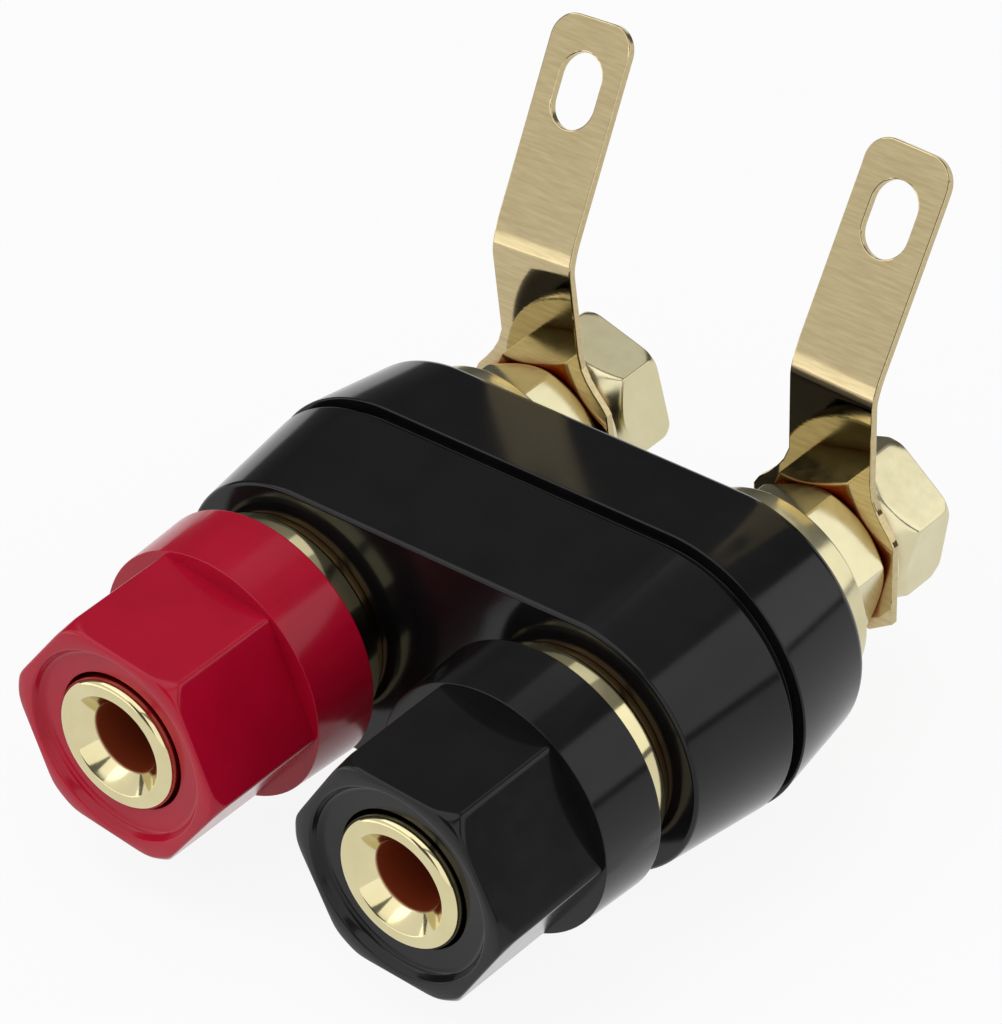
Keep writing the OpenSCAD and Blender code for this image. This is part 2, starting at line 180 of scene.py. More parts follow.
def hex_radius(corner, phase, t, sharp=110.0):
    """Distance from the axis to a hexagon with slightly rounded corners.
    A higher sharp makes them sharper."""
    flat = corner * cos(radians(30))
    total = 0.0
    for k in range(6):
        c = cos(t - radians(phase + 30 + 60 * k))
        if c > 0.2:
            total += (c / flat) ** sharp
    return total ** (-1 / sharp)


def soft_min(a, b, sharp=90.0):
    """The smaller of two radii, blended where they are close."""
    return (a ** -sharp + b ** -sharp) ** (-1 / sharp)


def apply_modifiers(obj):
    """Makes the result of an object's modifiers its mesh."""
    deps = bpy.context.evaluated_depsgraph_get()
    mesh = bpy.data.meshes.new_from_object(obj.evaluated_get(deps))
    obj.modifiers.clear()
    obj.data = mesh


def join(name, parts):
    """One object from several, keeping their shading."""
    bm = bmesh.new()
    for p in parts:
        bm.from_mesh(p.data)
    mesh = bpy.data.meshes.new(name)
    bm.to_mesh(mesh)
    bm.free()
    mesh.shade_smooth()
    mesh.set_sharp_from_angle(angle=radians(35))
    obj = place_in_scene(name, mesh)
    for p in parts:
        bpy.data.objects.remove(p)
    weight_normals(obj)
    return obj


# ---------------------------------------------------------------- materials
def srgb(r, g, b):
    """A linear colour from 8-bit sRGB values."""
    def lin(c):
        c /= 255
        return c / 12.92 if c <= 0.04045 else ((c + 0.055) / 1.055) ** 2.4
    return (lin(r), lin(g), lin(b), 1.0)


class Mat:
    """A node material m, with its tree t and its Principled shader b."""

    def __init__(self, name, rough, metal=0.0):
        self.m = bpy.data.materials.new(name)
        self.m.use_nodes = True
        self.t = self.m.node_tree
        self.b = self.t.nodes["Principled BSDF"]
        self.b.inputs["Roughness"].default_value = rough
        self.b.inputs["Metallic"].default_value = metal
        self.coord = self.node("TexCoord").outputs["Object"]
        self.height = None

    def node(self, kind, operation=None):
        """A new shader node, such as Bump, or Math with an operation."""
        n = self.t.nodes.new("ShaderNode" + kind)
        if operation:
            n.operation = operation
        return n

    def mapped(self, scale):
        n = self.node("Mapping")
        n.inputs["Scale"].default_value = scale
        self.t.links.new(self.coord, n.inputs["Vector"])
        return n.outputs["Vector"]

    def noise(self, scale, stretch=(1, 1, 1), detail=3.0):
        n = self.node("TexNoise")
        n.inputs["Scale"].default_value = scale
        n.inputs["Detail"].default_value = detail
        self.t.links.new(self.mapped(stretch), n.inputs["Vector"])
        return n.outputs["Fac"]

    def axes(self):
        """The object coordinates, one output for each axis."""
        n = self.node("SeparateXYZ")
        self.t.links.new(self.coord, n.inputs[0])
        return n.outputs

    def ramp(self, fac, stops):
        n = self.node("ValToRGB")
        els = n.color_ramp.elements
        while len(els) < len(stops):
            els.new(0.5)
        for e, (p, c) in zip(els, stops):
            e.position = p
            e.color = c
        self.t.links.new(fac, n.inputs["Fac"])
        return n.outputs["Color"]

    def colour(self, fac, a, b, lo=0.3, hi=0.7):
        self.t.links.new(self.ramp(fac, [(lo, a), (hi, b)]), self.b.inputs["Base Color"])

    def roughness(self, fac, a, b):
        n = self.node("MapRange")
        n.inputs["To Min"].default_value = a
        n.inputs["To Max"].default_value = b
        self.t.links.new(fac, n.inputs["Value"])
        self.t.links.new(n.outputs["Result"], self.b.inputs["Roughness"])

    def bump(self, fac, strength, dist_mm):
        n = self.node("Bump")
        n.inputs["Strength"].default_value = strength
        n.inputs["Distance"].default_value = dist_mm * MM
        self.t.links.new(fac, n.inputs["Height"])
        if self.height is not None:
            self.t.links.new(self.height, n.inputs["Normal"])
        self.height = n.outputs["Normal"]
        self.t.links.new(self.height, self.b.inputs["Normal"])

    def ramp_down(self, source, high, low):
        """0 where source is at high, 1 where it is at low."""
        n = self.node("MapRange")
        n.inputs["From Min"].default_value = high
        n.inputs["From Max"].default_value = low
        self.t.links.new(source, n.inputs["Value"])
        return n.outputs["Result"]

    def blend(self, factor, name, inside):
        """Mixes a shader input towards the value inside by a 0..1 factor."""
        socket = self.b.inputs[name]
        mix = self.node("Mix")
        colour = socket.type == "RGBA"
        mix.data_type = "RGBA" if colour else "FLOAT"
        # the Mix node has its own A, B and Result sockets for each data type
        a, b, result = (6, 7, 2) if colour else (2, 3, 0)
        self.t.links.new(factor, mix.inputs["Factor"])
        if socket.is_linked:
            self.t.links.new(socket.links[0].from_socket, mix.inputs[a])
        else:
            mix.inputs[a].default_value = socket.default_value
        mix.inputs[b].default_value = inside
        self.t.links.new(mix.outputs[result], socket)


# metres, as the shader reads them
POST_LOW, POST_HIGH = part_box("black_post")
POST_X = (POST_LOW[0] + POST_HIGH[0]) / 2
POST_Y = (POST_LOW[1] + POST_HIGH[1]) / 2
BORE_OUTER, BORE_INNER = 2.14 * MM, 2.06 * MM   # fade at the socket's wall
# painted shade: a dark brown for inside the sockets
BORE_SHADE_BROWN = srgb(128, 50, 22)
# painted shade: a warm brown for the crevices where plated parts crowd each other
CREVICE_SHADE_BROWN = srgb(142, 74, 24)
OPEN, CROWDED = 0.72, 0.25                      # shares of open sky over a surface


def painted_crevice_shade(m, reach):
    """Paints shade into the plating where surfaces crowd each other: a warmer, darker base colour
    that stands in for the shade in the crevices.
    """
    n = m.node("AmbientOcclusion")
    n.samples = 8
    n.inputs["Distance"].default_value = reach * MM
    m.blend(m.ramp_down(n.outputs["AO"], OPEN, CROWDED), "Base Color", CREVICE_SHADE_BROWN)
    return m


def polish_below(m, height, rough):
    """Makes the sheet smoother below a height, where it wasn't brushed."""
    fade = 0.3
    below = m.ramp_down(m.axes()["Z"], (height + fade) * MM, (height - fade) * MM)
    m.blend(below, "Roughness", rough)
    return m


def painted_bore_shade(m):
    """Paints shade into the metal inside the sockets, near the post axes: it is darkened to brown
    and dulled, standing in for the shade in the bore.
    """
    connect = m.t.links.new
    axes = m.axes()
    fade = 1 * MM
    side = m.node("Math", "ABSOLUTE")
    connect(axes["X"], side.inputs[0])
    off = m.node("Math", "SUBTRACT")
    off.inputs[1].default_value = POST_X
    connect(side.outputs[0], off.inputs[0])
    across = m.node("CombineXYZ")
    connect(off.outputs[0], across.inputs["X"])
    connect(axes["Z"], across.inputs["Z"])
    radius = m.node("VectorMath", "LENGTH")
    connect(across.outputs[0], radius.inputs[0])
    inside = m.node("Math", "MULTIPLY")
    connect(m.ramp_down(axes["Y"], POST_Y, POST_Y - fade), inside.inputs[0])
    connect(m.ramp_down(radius.outputs["Value"], BORE_OUTER, BORE_INNER), inside.inputs[1])
    m.blend(inside.outputs[0], "Base Color", BORE_SHADE_BROWN)
    m.blend(inside.outputs[0], "Metallic", 0.25)
    m.blend(inside.outputs[0], "Roughness", 0.45)
    return m


def plastic(name, dark, light, rough, shine):
    """Glossy moulded plastic with faint sink marks, flow lines and grain."""
    m = Mat(name, rough)
    m.b.inputs["Specular IOR Level"].default_value = shine
    m.colour(m.noise(260, detail=4), dark, light, 0.35, 0.65)
    m.roughness(m.noise(900, detail=6), rough * 0.75, rough * 1.35)
    sinks = m.noise(350, detail=2)
    flow = m.noise(500, (1, 0.1, 1), detail=3)
    grain = m.noise(6000, detail=4)
    m.bump(sinks, 0.12, 0.02)
    m.bump(flow, 0.1, 0.008)
    m.bump(grain, 0.05, 0.004)
    return m.m


def plated(name, dark, light, rough, tone=420, lines=(1, 1, 1), scale=900, bump=0.1):
    """Plated metal. Unequal lines stretch the noise to a brushed grain."""
    m = Mat(name, rough, metal=1.0)
    m.colour(m.noise(tone, lines, detail=3), dark, light, 0.3, 0.7)
    m.roughness(m.noise(1500, detail=6), rough * 0.6, rough * 1.5)
    m.bump(m.noise(scale, lines, detail=5), bump, 0.01)
    return m


RED = plastic("red moulded plastic", srgb(164, 7, 38), srgb(172, 9, 42), 0.16, 0.27)
BLACK = plastic("black moulded plastic", srgb(14, 14, 15), srgb(19, 19, 20), 0.13, 0.26)
GOLD = plated("pale gold plate", srgb(209, 198, 153), srgb(217, 207, 165), 0.09)
GOLD = painted_bore_shade(painted_crevice_shade(GOLD, 1.0)).m
SATIN = plated("satin gold plate", srgb(206, 197, 158), srgb(214, 206, 170), 0.18)
SATIN = painted_crevice_shade(SATIN, 1.6).m
THREAD = plated("gold plated thread", srgb(210, 186, 124), srgb(222, 200, 142), 0.16)
THREAD = painted_bore_shade(painted_crevice_shade(THREAD, 1.6)).m
BRASS = plated("bare brass", srgb(196, 160, 88), srgb(214, 180, 108), 0.22).m
TAG_BEND_Z = 10.3                       # height of the tags' bend
TAG = plated("brushed plated sheet", srgb(181, 164, 124), srgb(196, 180, 140), 0.11,
             tone=300, lines=(2, 20, 20), scale=300, bump=0.15)
TAG = polish_below(painted_crevice_shade(TAG, 1.6), TAG_BEND_Z + 0.1, 0.045).m
for material in bpy.data.materials:
    material.use_backface_culling = False


def dress(obj, material, slot, body, *nodes):
    """Gives a piece its material and body, and hides its CAD nodes. The slot is not used."""
    obj.data.materials.clear()
    obj.data.materials.append(material)
    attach(obj, body)
    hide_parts(*nodes)


# ---------------------------------------------------------------- insulators
def stadium(name, rows, half, segs=56):
    """Rows of (r, y) carried round two half circles whose centres are half
    from the middle, with a flat face over the first and the last row."""
    verts = []
    cols = 2 * (segs + 1)
    for r, y in rows:
        for k in range(segs + 1):
            t = -pi / 2 + pi * k / segs
            verts.append((half + r * cos(t), y, r * sin(t)))
        for k in range(segs + 1):
            t = pi / 2 + pi * k / segs
            verts.append((-half + r * cos(t), y, r * sin(t)))
    faces = grid_faces(len(rows), cols, wrap_rows=False)
    faces.append(tuple(range(cols)))
    last = (len(rows) - 1) * cols
    faces.append(tuple(last + k for k in range(cols)))
    return link(name, verts, faces)


def build_insulators():
    """Both insulator halves. Gives the distance of the posts from the middle."""
    flo, fhi = span("front_insulator")
    rhi = span("rear_insulator")[1]
    plo, phi = span("black_post")
    half = (plo[0] + phi[0]) / 2
    groove, groove_depth = 0.4, 0.8     # half the joint's groove, and its depth
    core = 0.6                          # the flat faces close over this radius
    front_y = flo[1]
    front_face = 7.68
    front_r = fhi[2]
    rear_y = 6.9
    rear_face = 7.66
    rear_r = rhi[2]
    boss_r = 5.58
    boss_core = 0.5
    sunk = rear_y - 0.5                 # the bosses start inside the body
    rows = open_fillet([
        (core, front_y), (front_face, front_y, 0.25), (front_r, -groove, 0.1),
        (front_r - groove_depth, -groove, 0.05), (front_r - groove_depth, 0.0), (core, 0.0)])
    front = stadium("front_insulator_body", rows, half)
    dress(front, BLACK, "black_plastic", "base", "front_insulator")
    rows = open_fillet([
        (core, 0.0), (rear_r - groove_depth, 0.0), (rear_r - groove_depth, groove, 0.05),
        (rear_r, groove, 0.1), (rear_face, rear_y, 0.85), (core, rear_y)])
    rear = stadium("rear_body", rows, half)
    boss = [(boss_core, sunk), (boss_r, sunk), (boss_r, rhi[1], 0.15), (boss_core, rhi[1])]
    bosses = [turned("boss", boss, side * half) for side in (-1, 1)]
    rear = join("rear_insulator_body", [rear] + bosses)
    dress(rear, BLACK, "black_plastic", "base", "rear_insulator")
    return half


# ---------------------------------------------------------------- knob
def build_knob(pole, x0, phase):
    """A hexagon with turned corners in front and a round skirt behind."""
    node = pole + "_knob_shell"
    lo, hi = span(node)
    front = lo[1]
    rear = hi[1]
    seat = span(pole + "_knob_insert")[0][1]
    corner = 7.15                       # the hexagon's corner radius
    step = rear - 4.25                  # where the hexagon meets the skirt
    bore = 4.05                         # round the post head
    recess, recess_r = front + 0.6, 5.4
    lip, face_r = 5.66, 6.0
    crown, crown_length = 6.64, 0.65    # the cone that turns the front corners
    slope = (corner - crown) / crown_length
    hex_start = 0.9                     # depth past which the corners are whole
    whole = 9.0                         # past every corner, so nothing is cut
    edge = 0.16                         # rounding of the front rim
    skirt_base, skirt_front, skirt_rear = 7.2, 7.31, 7.49
    rear_bore = 5.02
    angles = hex_angles(phase)
    rows = []

    def ring(r, y):
        rows.append([(r, y)] * len(angles))

    def hexring(inset, cone, y):
        rows.append([(soft_min(hex_radius(corner, phase, t), cone) - inset, y) for t in angles])

    for r, y in open_fillet([
            (bore, seat), (bore, recess, 0.06), (recess_r, recess, 0.45),
            (lip, front, edge), (face_r, front)], 6):
        ring(r, y)
    for k in range(1, 6):
        a = pi / 2 * k / 5
        depth = edge * (1 - cos(a))
        hexring(edge * (1 - sin(a)), crown + slope * depth, front + depth)
    for k in range(1, 13):
        depth = edge + (hex_start - edge) * k / 12
        hexring(0.0, crown + slope * depth, front + depth)
    for k in range(1, 8):
        hexring(0.0, whole, front + hex_start + (step - front - hex_start) * k / 7)
    outer = open_fillet([
        (skirt_base, step), (skirt_front, step, 0.18), (skirt_rear, rear, 0.14),
        (rear_bore, rear), (rear_bore, seat), (bore, seat)], 5)
    for r, y in outer[1:]:
        ring(r, y)
    faces = grid_faces(len(rows), len(angles), wrap_rows=False)
    obj = link(pole + "_knob", round_points(rows, angles), faces, x0, 40)
    dress(obj, RED if pole == "red" else BLACK, pole + "_plastic", pole + "_knob", node)


# ---------------------------------------------------------------- metal parts
SOCKET = 2.05                           # radius of the plug socket
STUD_BORE = 2.56                        # in the nuts, lock washers and tags


def build_head(pole, x0):
    """The ring in the knob's front, with its funnel mouth."""
    lo, hi = span(pole + "_post_head")
    front, neck_end = lo[1], hi[1]
    back = front + 1.8
    neck = 2.7
    mouth, rim_front, rim_back = 3.0, 3.87, 3.89
    obj = turned(pole + "_socket_head", [
        (SOCKET, neck_end), (SOCKET, front + 1.0, 0.3), (mouth, front + 0.02, 0.25),
        (rim_front, front, 0.42), (rim_back, back, 0.1), (neck, back), (neck, neck_end)], x0, 160)
    dress(obj, GOLD, "gold_plate", "base", pole + "_post_head")


def build_clamp(pole, x0):
    """The ring behind the knob that presses on the wire."""
    lo, hi = span(pole + "_clamp_ring")
    rear = hi[1]
    front = rear - 1.85
    bore, hub, disc = 3.26, 4.1, 6.39
    chamfer = 0.25
    obj = turned(pole + "_clamp_washer", [
        (bore, lo[1]), (hub, lo[1], 0.1), (hub, front), (disc, front, 0.1),
        (disc, rear - chamfer, 0.08), (disc - 0.2, rear, 0.08), (bore, rear)], x0, 160)
    dress(obj, GOLD, "gold_plate", pole + "_clamp", pole + "_clamp_ring")


def thread_rows(crest, y0, y1, pitch, depth, segs, per_turn=10):
    """Rows of points along a right-hand screw thread."""
    count = max(2, int((y1 - y0) / pitch * per_turn))
    run_out = pitch * 0.5               # length over which it fades at each end
    flat, flank = 0.12, 0.8             # shares of half a turn
    play = 0.01                         # keeps the crest under its own radius
    rows = []
    for i in range(count + 1):
        y = y0 + (y1 - y0) * i / count
        fade = min(1.0, (y - y0) / run_out, (y1 - y) / run_out)
        row = []
        for t in round_angles(segs):
            turn = (y / pitch + t / TAU) % 1.0
            height = min(1.0, max(0.0, (abs(2 * turn - 1) - flat) / flank))
            row.append((crest - depth * (1 - height) * fade - play, y))
        rows.append(row)
    return rows


def wire_hole(x0, y):
    """An upright cylinder that cuts the hole for a bare wire."""
    radius, length = 1.2 * MM, 9 * MM
    mesh = bpy.data.meshes.new("cut")
    bm = bmesh.new()
    bmesh.ops.create_cone(bm, cap_ends=True, segments=48, radius1=radius, radius2=radius,
                          depth=length)
    bm.to_mesh(mesh)
    bm.free()
    tool = place_in_scene("cut", mesh)
    tool.location = (x0 * MM, y * MM, 0)
    return tool


def build_post(pole, x0):
    """Socket, threaded barrel, flange and threaded stud in one closed skin."""
    lo, hi = span(pole + "_post")
    front = lo[1]
    end = hi[1]
    body_face = span("front_insulator")[0][1]
    flange, flange_r = body_face - 0.6, 5.89
    hole_end = body_face - 0.5          # the drill point starts just before it
    wall_end = hole_end - 0.35
    seat, seat_r = front + 2.7, 2.7     # the post head's neck sits in here
    barrel, relief = 3.2, 2.95
    stud, stud_end = 2.5, 2.1
    centre = 0.02                       # the ends close over this radius
    segs = 96
    rows = []

    def ring(r, y):
        rows.append([(r, y)] * segs)

    ring(centre, hole_end + 0.5)
    ring(1.2, hole_end)
    ring(SOCKET, wall_end)
    for k in range(1, 9):
        ring(SOCKET, wall_end + (seat - wall_end) * k / 8)
    ring(seat_r, seat)
    ring(seat_r, front + 0.02)
    ring(barrel - 0.1, front)
    ring(barrel - 0.01, front + 0.12)
    rows += thread_rows(barrel, front + 0.2, flange - 0.25, pitch=1.0, depth=0.42, segs=segs)
    ring(relief, flange - 0.2)
    ring(relief, flange)
    for r, y in open_fillet([(3.1, flange), (flange_r, flange, 0.14), (flange_r, body_face, 0.04),
                             (stud, body_face)], 4):
        ring(r, y)
    thread_start = span(pole + "_outer_nut")[1][1] - 1.2
    ring(stud - 0.02, thread_start)
    rows += thread_rows(stud, thread_start + 0.1, end - 0.4, pitch=0.8, depth=0.34, segs=segs)
    ring(stud_end, end)
    ring(centre, end)
    points = round_points(rows, round_angles(segs))
    faces = grid_faces(len(rows), segs, wrap_rows=False)
    obj = link(pole + "_threaded_post", points, faces, x0, 50, False)
    tool = wire_hole(x0, flange - 1.8)
    mod = obj.modifiers.new("wire hole", "BOOLEAN")
    mod.operation = "DIFFERENCE"
    mod.solver = "EXACT"
    mod.object = tool
    apply_modifiers(obj)
    bpy.data.objects.remove(tool)
    obj.data.shade_smooth()
    obj.data.set_sharp_from_angle(angle=radians(50))
    dress(obj, THREAD, "thread_plate", "base", pole + "_post")


def build_washer(pole, x0):
    """The flat washer on the rear insulator."""
    node = pole + "_flat_washer"
    lo, hi = span(node)
    bore, rim = 2.55, 6.04
    obj = turned(pole + "_washer", [
        (bore, lo[1]), (rim, lo[1], 0.14), (rim, hi[1], 0.14), (bore, hi[1])], x0, 144)
    dress(obj, SATIN, "gold_plate", "base", node)


def build_nut(node, x0, phase, side, name, crown, length, back=None):
    """A hex nut. Over length from one face, the rear one where side is 1, its
    corners are turned to a cone that starts at the radius crown, and those at
    the other face to one that starts at back, if it is given."""
    lo, hi = span(node)
    y0, y1 = lo[1], hi[1]
    depth = y1 - y0
    corner = 4.7
    edge = 0.07                         # rounding of both rims
    bevel_r, bevel_depth = 2.9, 0.35
    turned_to = length + 0.2            # depth past which the corners are whole
    back_length = 0.55
    slope = (corner - crown) / length
    angles = hex_angles(phase)
    radii = [hex_radius(corner, phase, t, 160.0) for t in angles]
    rows = []

    def place(d):
        return y1 - d if side > 0 else y0 + d

    def ring(r, d):
        rows.append([(r, place(d))] * len(angles))

    def hexring(d, cone, inset=0.0):
        turned_radii = [soft_min(r, cone) for r in radii] if cone else radii
        rows.append([(r - inset, place(d)) for r in turned_radii])

    def back_cone(d):
        return back + (corner - back) / back_length * (depth - d) if back else None

    ring(STUD_BORE, bevel_depth)
    ring(bevel_r, 0.0)
    for k in range(1, 5):
        a = pi / 2 * k / 4
        d = edge * (1 - cos(a))
        hexring(d, crown + slope * d, edge * (1 - sin(a)))
    for k in range(1, 15):
        d = edge + (turned_to - edge) * k / 14
        hexring(d, crown + slope * d)
    for k in range(1, 13):
        d = turned_to + (depth - edge - turned_to) * (1 - (1 - k / 12) ** 2)
        hexring(d, back_cone(d))
    for k in range(1, 4):
        a = pi / 2 * k / 3
        d = depth - edge + edge * sin(a)
        hexring(d, back_cone(d), edge * (1 - cos(a)))
    ring(bevel_r, depth)
    ring(STUD_BORE, depth - bevel_depth)
    obj = link(name, round_points(rows, angles), grid_faces(len(rows), len(angles)), x0, 40)
    dress(obj, SATIN, "gold_plate", "base", node)


def build_lock(pole, x0):
    """A split spring washer, one turn of a flat helix."""
    node = pole + "_lock_washer"
    lo, hi = span(node)
    y0, y1 = lo[1], hi[1]
    rim = 4.18
    thick = 0.8
    rise = (y1 - y0) - thick
    gap = 0.06                          # half the split, in radians
    segs = 120
    profile = fillet([(STUD_BORE, 0.0), (rim, 0.0, 0.2), (rim, thick, 0.2), (STUD_BORE, thick)], 4)
    verts = []
    for i in range(segs + 1):
        f = i / segs
        t = -pi / 2 + gap + (TAU - 2 * gap) * f
        for r, y in profile:
            verts.append((r * cos(t), y0 + rise * f + y, r * sin(t)))
    cols = len(profile)
    faces = grid_faces(segs + 1, cols, wrap_rows=False)
    faces.append(tuple(range(cols)))
    faces.append(tuple(segs * cols + k for k in range(cols)))
    obj = link(pole + "_spring_washer", verts, faces, x0, 40)
    dress(obj, SATIN, "gold_plate", "base", node)


# ---------------------------------------------------------------- solder tag
def arc(cx, cz, r, a0, a1, n):
    """n + 1 points on an arc, with its angles in degrees."""
    angles = [radians(a0 + (a1 - a0) * k / n) for k in range(n + 1)]
    return [(cx + r * cos(a), cz + r * sin(a)) for a in angles]


class Bend:
    """The tag's bend, tight below and open above. It joins the same straight
    runs as the plain bend of the CAD does."""

    def __init__(self, degrees):
        plain_radius, upper_run = 3.2, 12.1
        open_turn = radians(11)
        r1, r2 = 2.4, 7.5
        a = radians(degrees)
        a1 = a - open_turn
        self.r1, self.r2, self.angle, self.a1 = r1, r2, a, a1
        end_y = r1 * (1 - cos(a1)) + r2 * (cos(a1) - cos(a))
        end_z = r1 * sin(a1) + r2 * (sin(a) - sin(a1))
        tangent = plain_radius * math.tan(a / 2)
        self.start = TAG_BEND_Z + tangent - (end_z - end_y / math.tan(a))
        self.tight = r1 * a1
        self.length = r1 * a1 + r2 * (a - a1)
        self.total = self.start + self.length + (upper_run + tangent - end_y / sin(a))

    def cuts(self):
        """Heights in the flat blank at which the bend is divided."""
        open_part = self.r2 * (self.angle - self.a1)
        return ([self.start + self.tight * k / 10 for k in range(10)]
                + [self.start + self.tight + open_part * k / 6 for k in range(7)])

    def shape(self, x, y, z):
        """Where a point of the flat blank lies when it is bent."""
        r1, r2, a, a1 = self.r1, self.r2, self.angle, self.a1
        if z <= self.start:
            return x, y, z
        if z <= self.start + self.tight:
            q = (z - self.start) / r1
            return x, r1 - (r1 - y) * cos(q), self.start + (r1 - y) * sin(q)
        q = min(a, a1 + (z - self.start - self.tight) / r2)
        by = r1 - (r1 - r2) * cos(a1) - (r2 - y) * cos(q)
        bz = self.start + (r1 - r2) * sin(a1) + (r2 - y) * sin(q)
        over = max(0.0, z - self.start - self.length)
        return x, by + over * sin(a), bz + over * cos(a)


def tag_outline(total, offset):
    """The flat blank's outline. The strip's centre line runs at x = offset."""
    half = 2.7                          # the strip's half width
    corner_r = 1.5
    head_r, side_x, side_top = 5.2, 4.65, 2.25
    shoulder, neck_z = 4.3, 5.7
    shoulder_z = math.sqrt(head_r ** 2 - shoulder ** 2)
    low = math.degrees(math.atan2(side_top + 0.08, side_x))
    high = math.degrees(math.atan2(shoulder_z, shoulder))
    head = [(3.2, -3.75), (side_x, -2.75), (side_x, side_top)] + arc(0, 0, head_r, low, high, 3)
    # a hollow curve from the head into the strip
    neck = [(shoulder - 0.55, 3.55), (shoulder - 1.0, 4.15), (half + 0.22, 4.85), (half, neck_z)]
    end = arc(half - corner_r, total - corner_r, corner_r, 0, 90, 10)

    def flank(s):
        points = [(s * x, z) for x, z in head]
        points += [(s * x + offset * min(1, (z - shoulder_z) / (neck_z - shoulder_z)), z)
                   for x, z in neck]
        return points + [(s * x + offset, z) for x, z in end]

    return flank(1) + flank(-1)[::-1]


def build_tag(pole, x0, lean, degrees, crease):
    """A flat blank with a hole and a slot, thickened, bevelled and bent."""
    node = pole + "_solder_tag"
    y0 = span(node)[0][1]
    thick = 0.5
    bevel = 0.08
    offset = 0.35
    slot_r, slot_half = 1.425, 0.7
    crease_from = 2.0                   # its distance from the strip's end
    bend = Bend(degrees)
    total = bend.total
    slot_z = total - 4.0
    bm = bmesh.new()

    def loop(points):
        vs = [bm.verts.new((x, 0, z)) for x, z in points]
        return [bm.edges.new((vs[i], vs[(i + 1) % len(vs)])) for i in range(len(vs))]

    slot = (arc(offset, slot_z + slot_half, slot_r, 0, 180, 20)
            + arc(offset, slot_z - slot_half, slot_r, 180, 360, 20))
    hole = arc(0, 0, STUD_BORE, 0, 360, 60)[:-1]
    edges = loop(tag_outline(total, offset)) + loop(slot) + loop(hole)
    bmesh.ops.triangle_fill(bm, use_beauty=True, edges=edges)
    # rows of points for the bend and on both sides of the crease
    for z in bend.cuts() + [total - crease_from + d for d in (-0.3, -0.1, 0.1, 0.3)]:
        bmesh.ops.bisect_plane(bm, geom=bm.verts[:] + bm.edges[:] + bm.faces[:],
                               plane_co=(0, 0, z), plane_no=(0, 0, 1))
    grown = bmesh.ops.extrude_face_region(bm, geom=bm.faces[:])["geom"]
    for v in [g for g in grown if isinstance(g, bmesh.types.BMVert)]:
        v.co.y += thick
    bmesh.ops.recalc_face_normals(bm, faces=bm.faces)
    bm.normal_update()
    rim = [e for e in bm.edges if len(e.link_faces) == 2 and e.calc_face_angle(0) > radians(60)]
    bmesh.ops.bevel(bm, geom=rim, offset=bevel, segments=3, profile=0.5, affect="EDGES")
    tilt = radians(lean)
    for v in bm.verts:
        x, y, z = v.co
        if z > total - crease_from and crease:
            y += crease * (z - total + crease_from)
        v.co = bend.shape(x, y, z)
        x, y, z = v.co
        v.co = ((x * cos(tilt) + z * sin(tilt) + x0) * MM, (y + y0) * MM,
                (-x * sin(tilt) + z * cos(tilt)) * MM)
    mesh = bpy.data.meshes.new(pole + "_tag")
    bm.to_mesh(mesh)
    bm.free()
    mesh.shade_smooth()
    mesh.set_sharp_from_angle(angle=radians(12))
    dress(place_in_scene(pole + "_tag", mesh), TAG, "tag_plate", "base", node)


# ---------------------------------------------------------------- the object
KNOB_PHASE = {"red": 51.4, "black": 55.7}                   # degrees
NUT_PHASES = {"red": (14.9, 42.2), "black": (14.5, 18.9)}   # inner, outer
# lean and bend in degrees, and how far the last stretch is creased
TAG_SET = {"red": (-4.0, 34, 0.0), "black": (2.3, 32, -0.05)}
HALF = build_insulators()
for pole, x0 in (("red", -HALF), ("black", HALF)):
    inner, outer = NUT_PHASES[pole]
    build_knob(pole, x0, KNOB_PHASE[pole])
    build_head(pole, x0)
    build_clamp(pole, x0)
    build_post(pole, x0)
    build_washer(pole, x0)
    build_nut(pole + "_inner_nut", x0, inner, 1, pole + "_nut_inner", crown=4.05, length=0.6)
    build_nut(pole + "_outer_nut", x0, outer, -1, pole + "_nut_outer", crown=3.6, length=1.25,
              back=4.45)
    build_lock(pole, x0)
    build_tag(pole, x0, *TAG_SET[pole])
    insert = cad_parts[pole + "_knob_insert"]
    insert.data.materials.clear()
    insert.data.materials.append(BRASS)

# ---------------------------------------------------------------- camera
# the photograph's viewing angle, with the shifts and distance in millimetres
AZ, EL, ROLL = radians(41.418), radians(35.726), radians(-3.157)
DISTANCE, SHIFT_SIDE, SHIFT_TOP = 352.584, -1.335, 4.982
FOCAL, IMAGE_HEIGHT, SENSOR = 6719.87, 1024, 36
back = Vector((sin(AZ) * cos(EL), -cos(AZ) * cos(EL), sin(EL)))
right = Vector((cos(AZ), sin(AZ), 0))
up = back.cross(right)
side = cos(ROLL) * right + sin(ROLL) * up
top = -sin(ROLL) * right + cos(ROLL) * up
spot = back * DISTANCE + side * SHIFT_SIDE + top * SHIFT_TOP
cam = bpy.data.cameras.new("camera")
cam.sensor_width = SENSOR
cam.sensor_fit = "AUTO"
cam.lens = SENSOR * FOCAL / IMAGE_HEIGHT
cam.clip_start = 0.01
cam.clip_end = 20
camera = place_in_scene("camera", cam)
pose = Matrix((side, top, back)).transposed().to_4x4()
pose.translation = spot * MM
camera.matrix_world = pose
bpy.context.scene.camera = camera


# ---------------------------------------------------------------- room
# metres from here on
def softbox(name, centre, target, size, level):
    """A rectangular lamp whose face is as bright as level times white."""
    lamp = bpy.data.lights.new(name, "AREA")
    lamp.shape = "RECTANGLE"
    lamp.size, lamp.size_y = size
    lamp.energy = level * pi * size[0] * size[1]
    obj = place_in_scene(name, lamp)
    obj.location = centre
    obj.rotation_euler = (Vector(target) - Vector(centre)).to_track_quat("-Z", "Y").to_euler()


# a wall on the +X side that runs back from the part
softbox("softbox right", (0.4, 0.5, 0.27), (0.0, 0.5, 0.27), (1.0, 0.46), 1.22)
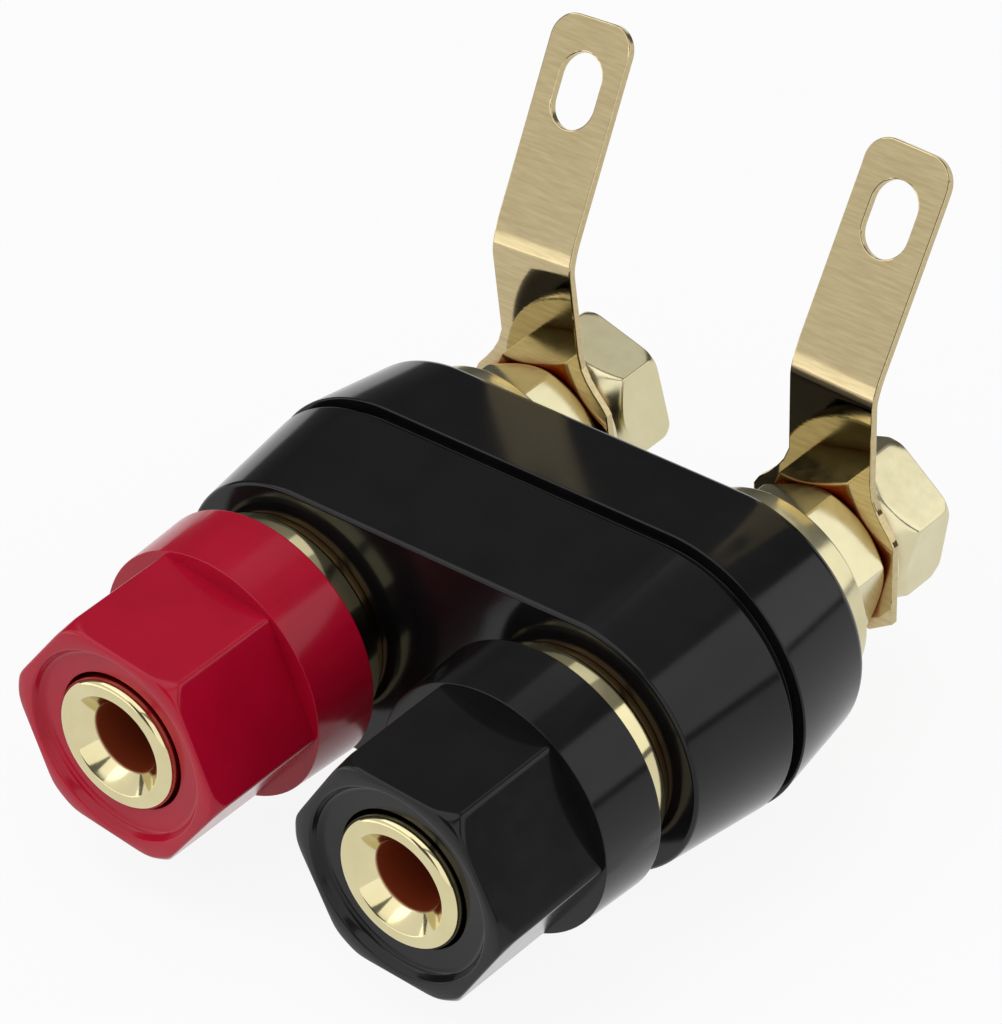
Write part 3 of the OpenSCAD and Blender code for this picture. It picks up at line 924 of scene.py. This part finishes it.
# front left: a low bright strip on the floor with a softer wall above it
softbox("softbox low", (-0.27, -0.32, 0.035), (0.0, 0.0, 0.035), (0.5, 0.09), 1.6)
softbox("softbox left", (-0.27, -0.32, 0.26), (0.0, 0.0, 0.26), (0.5, 0.36), 0.85)
softbox("softbox top", (-0.08, -0.15, 0.45), (0, 0, 0), (0.7, 0.6), 1.2)
# fill, beside and behind the camera
softbox("softbox fill", (0.36, -0.34, 0.22), (0.0, 0.0, 0.22), (0.5, 0.44), 1.2)
# high behind: a small one for the rear nuts
softbox("softbox back", (-0.043, 0.274, 0.355), (0, 0, 0), (0.17, 0.16), 0.5)

# a dim studio, lighter overhead: each stop is the sine of an elevation and a
# grey level
SKY = ((0.0, 0.14), (0.35, 0.1), (0.6, 0.2), (0.75, 0.24), (0.8, 0.34))
world = bpy.data.worlds.new("studio")
world.use_nodes = True
bpy.context.scene.world = world
wt = world.node_tree
tc = wt.nodes.new("ShaderNodeTexCoord")
sep = wt.nodes.new("ShaderNodeSeparateXYZ")
wt.links.new(tc.outputs["Generated"], sep.inputs[0])
ramp = wt.nodes.new("ShaderNodeValToRGB")
stops = ramp.color_ramp.elements
while len(stops) < len(SKY):
    stops.new(0.5)
for stop, (height, level) in zip(stops, SKY):
    stop.position = height
    stop.color = (level, level, level, 1)
wt.links.new(sep.outputs["Z"], ramp.inputs["Fac"])
wt.links.new(ramp.outputs["Color"], wt.nodes["Background"].inputs["Color"])

# pale floor under the part
FLOOR_HALF, FLOOR_GAP = 3.0, 0.001
WHITE_SHARE = 0.9
fm = bpy.data.materials.new("floor")
fm.use_nodes = True
ft = fm.node_tree
fb = ft.nodes["Principled BSDF"]
fb.inputs["Base Color"].default_value = (0.8, 0.8, 0.8, 1)
fb.inputs["Roughness"].default_value = 0.7
fb.inputs["Specular IOR Level"].default_value = 0.1
# seen directly, mirrored or through something the floor is white, with part
# of the shadow kept
flp = ft.nodes.new("ShaderNodeLightPath")
glow = ft.nodes.new("ShaderNodeEmission")
glow.inputs["Color"].default_value = (1, 1, 1, 1)
glow.inputs["Strength"].default_value = 1.0
share = ft.nodes.new("ShaderNodeMath")
share.operation = "MULTIPLY"
share.inputs[1].default_value = WHITE_SHARE
seen = flp.outputs["Is Camera Ray"]
for kind in ("Is Glossy Ray", "Is Transmission Ray"):
    either = ft.nodes.new("ShaderNodeMath")
    either.operation = "MAXIMUM"
    ft.links.new(seen, either.inputs[0])
    ft.links.new(flp.outputs[kind], either.inputs[1])
    seen = either.outputs[0]
ft.links.new(seen, share.inputs[0])
fmix = ft.nodes.new("ShaderNodeMixShader")
ft.links.new(share.outputs[0], fmix.inputs["Fac"])
ft.links.new(fb.outputs[0], fmix.inputs[1])
ft.links.new(glow.outputs[0], fmix.inputs[2])
ft.links.new(fmix.outputs[0], ft.nodes["Material Output"].inputs["Surface"])
floor_z = low0[2] - FLOOR_GAP
square = ((-1, -1), (1, -1), (1, 1), (-1, 1))
corners = [(x * FLOOR_HALF, y * FLOOR_HALF, floor_z) for x, y in square]
floor_mesh = bpy.data.meshes.new("floor")
floor_mesh.from_pydata(corners, [], [(0, 1, 2, 3)])
floor_mesh.materials.append(fm)
floor = place_in_scene("floor", floor_mesh)

bpy.context.scene.view_settings.view_transform = "Standard"
